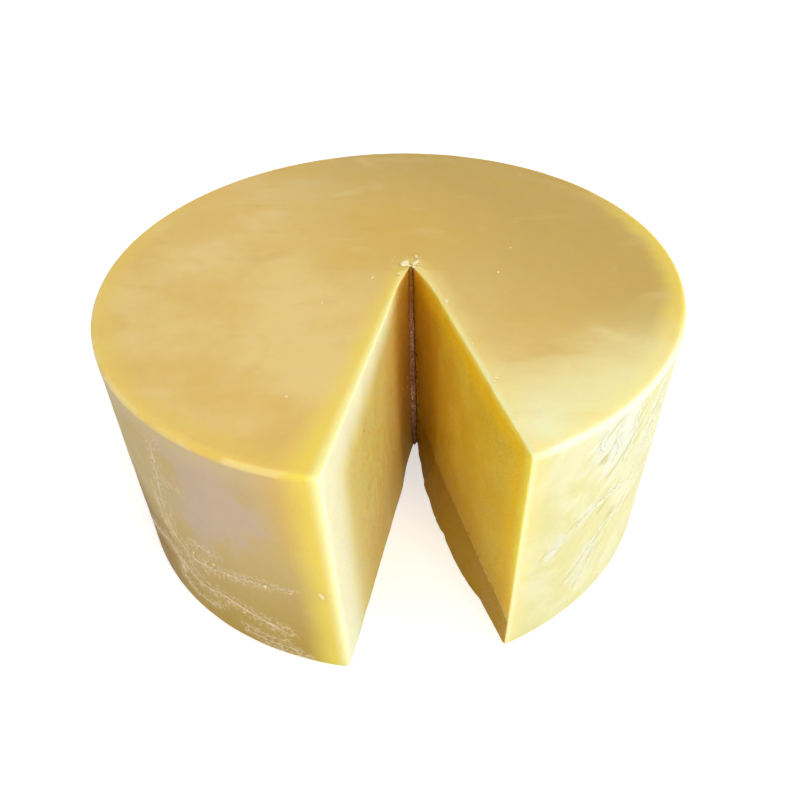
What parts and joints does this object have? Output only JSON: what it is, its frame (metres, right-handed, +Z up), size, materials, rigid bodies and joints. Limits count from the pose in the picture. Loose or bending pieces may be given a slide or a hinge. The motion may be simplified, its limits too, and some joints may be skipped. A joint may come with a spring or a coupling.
{
  "type": "parmesan wheel with a wedge cut out",
  "caption": "Straight-sided, slightly oval wheel of hard aged cheese on a flat base, with a narrow wedge cut out to its middle and a torn core where the cuts meet.",
  "frame": {"origin": "middle of the flat base, where the axis of the whole wheel meets what it stands on", "axes": "+Z up, along the axis of the wheel; the gap left by the wedge opens towards -Y; +X to the right of someone who faces the gap"},
  "size_m": [0.2994, 0.2993, 0.134],
  "materials": {
    "cheese": "waxy, translucent, satin rind"
  },
  "bodies": {
    "root": {"cheese_wheel": "cheese"}
  },
  "joints": []
}
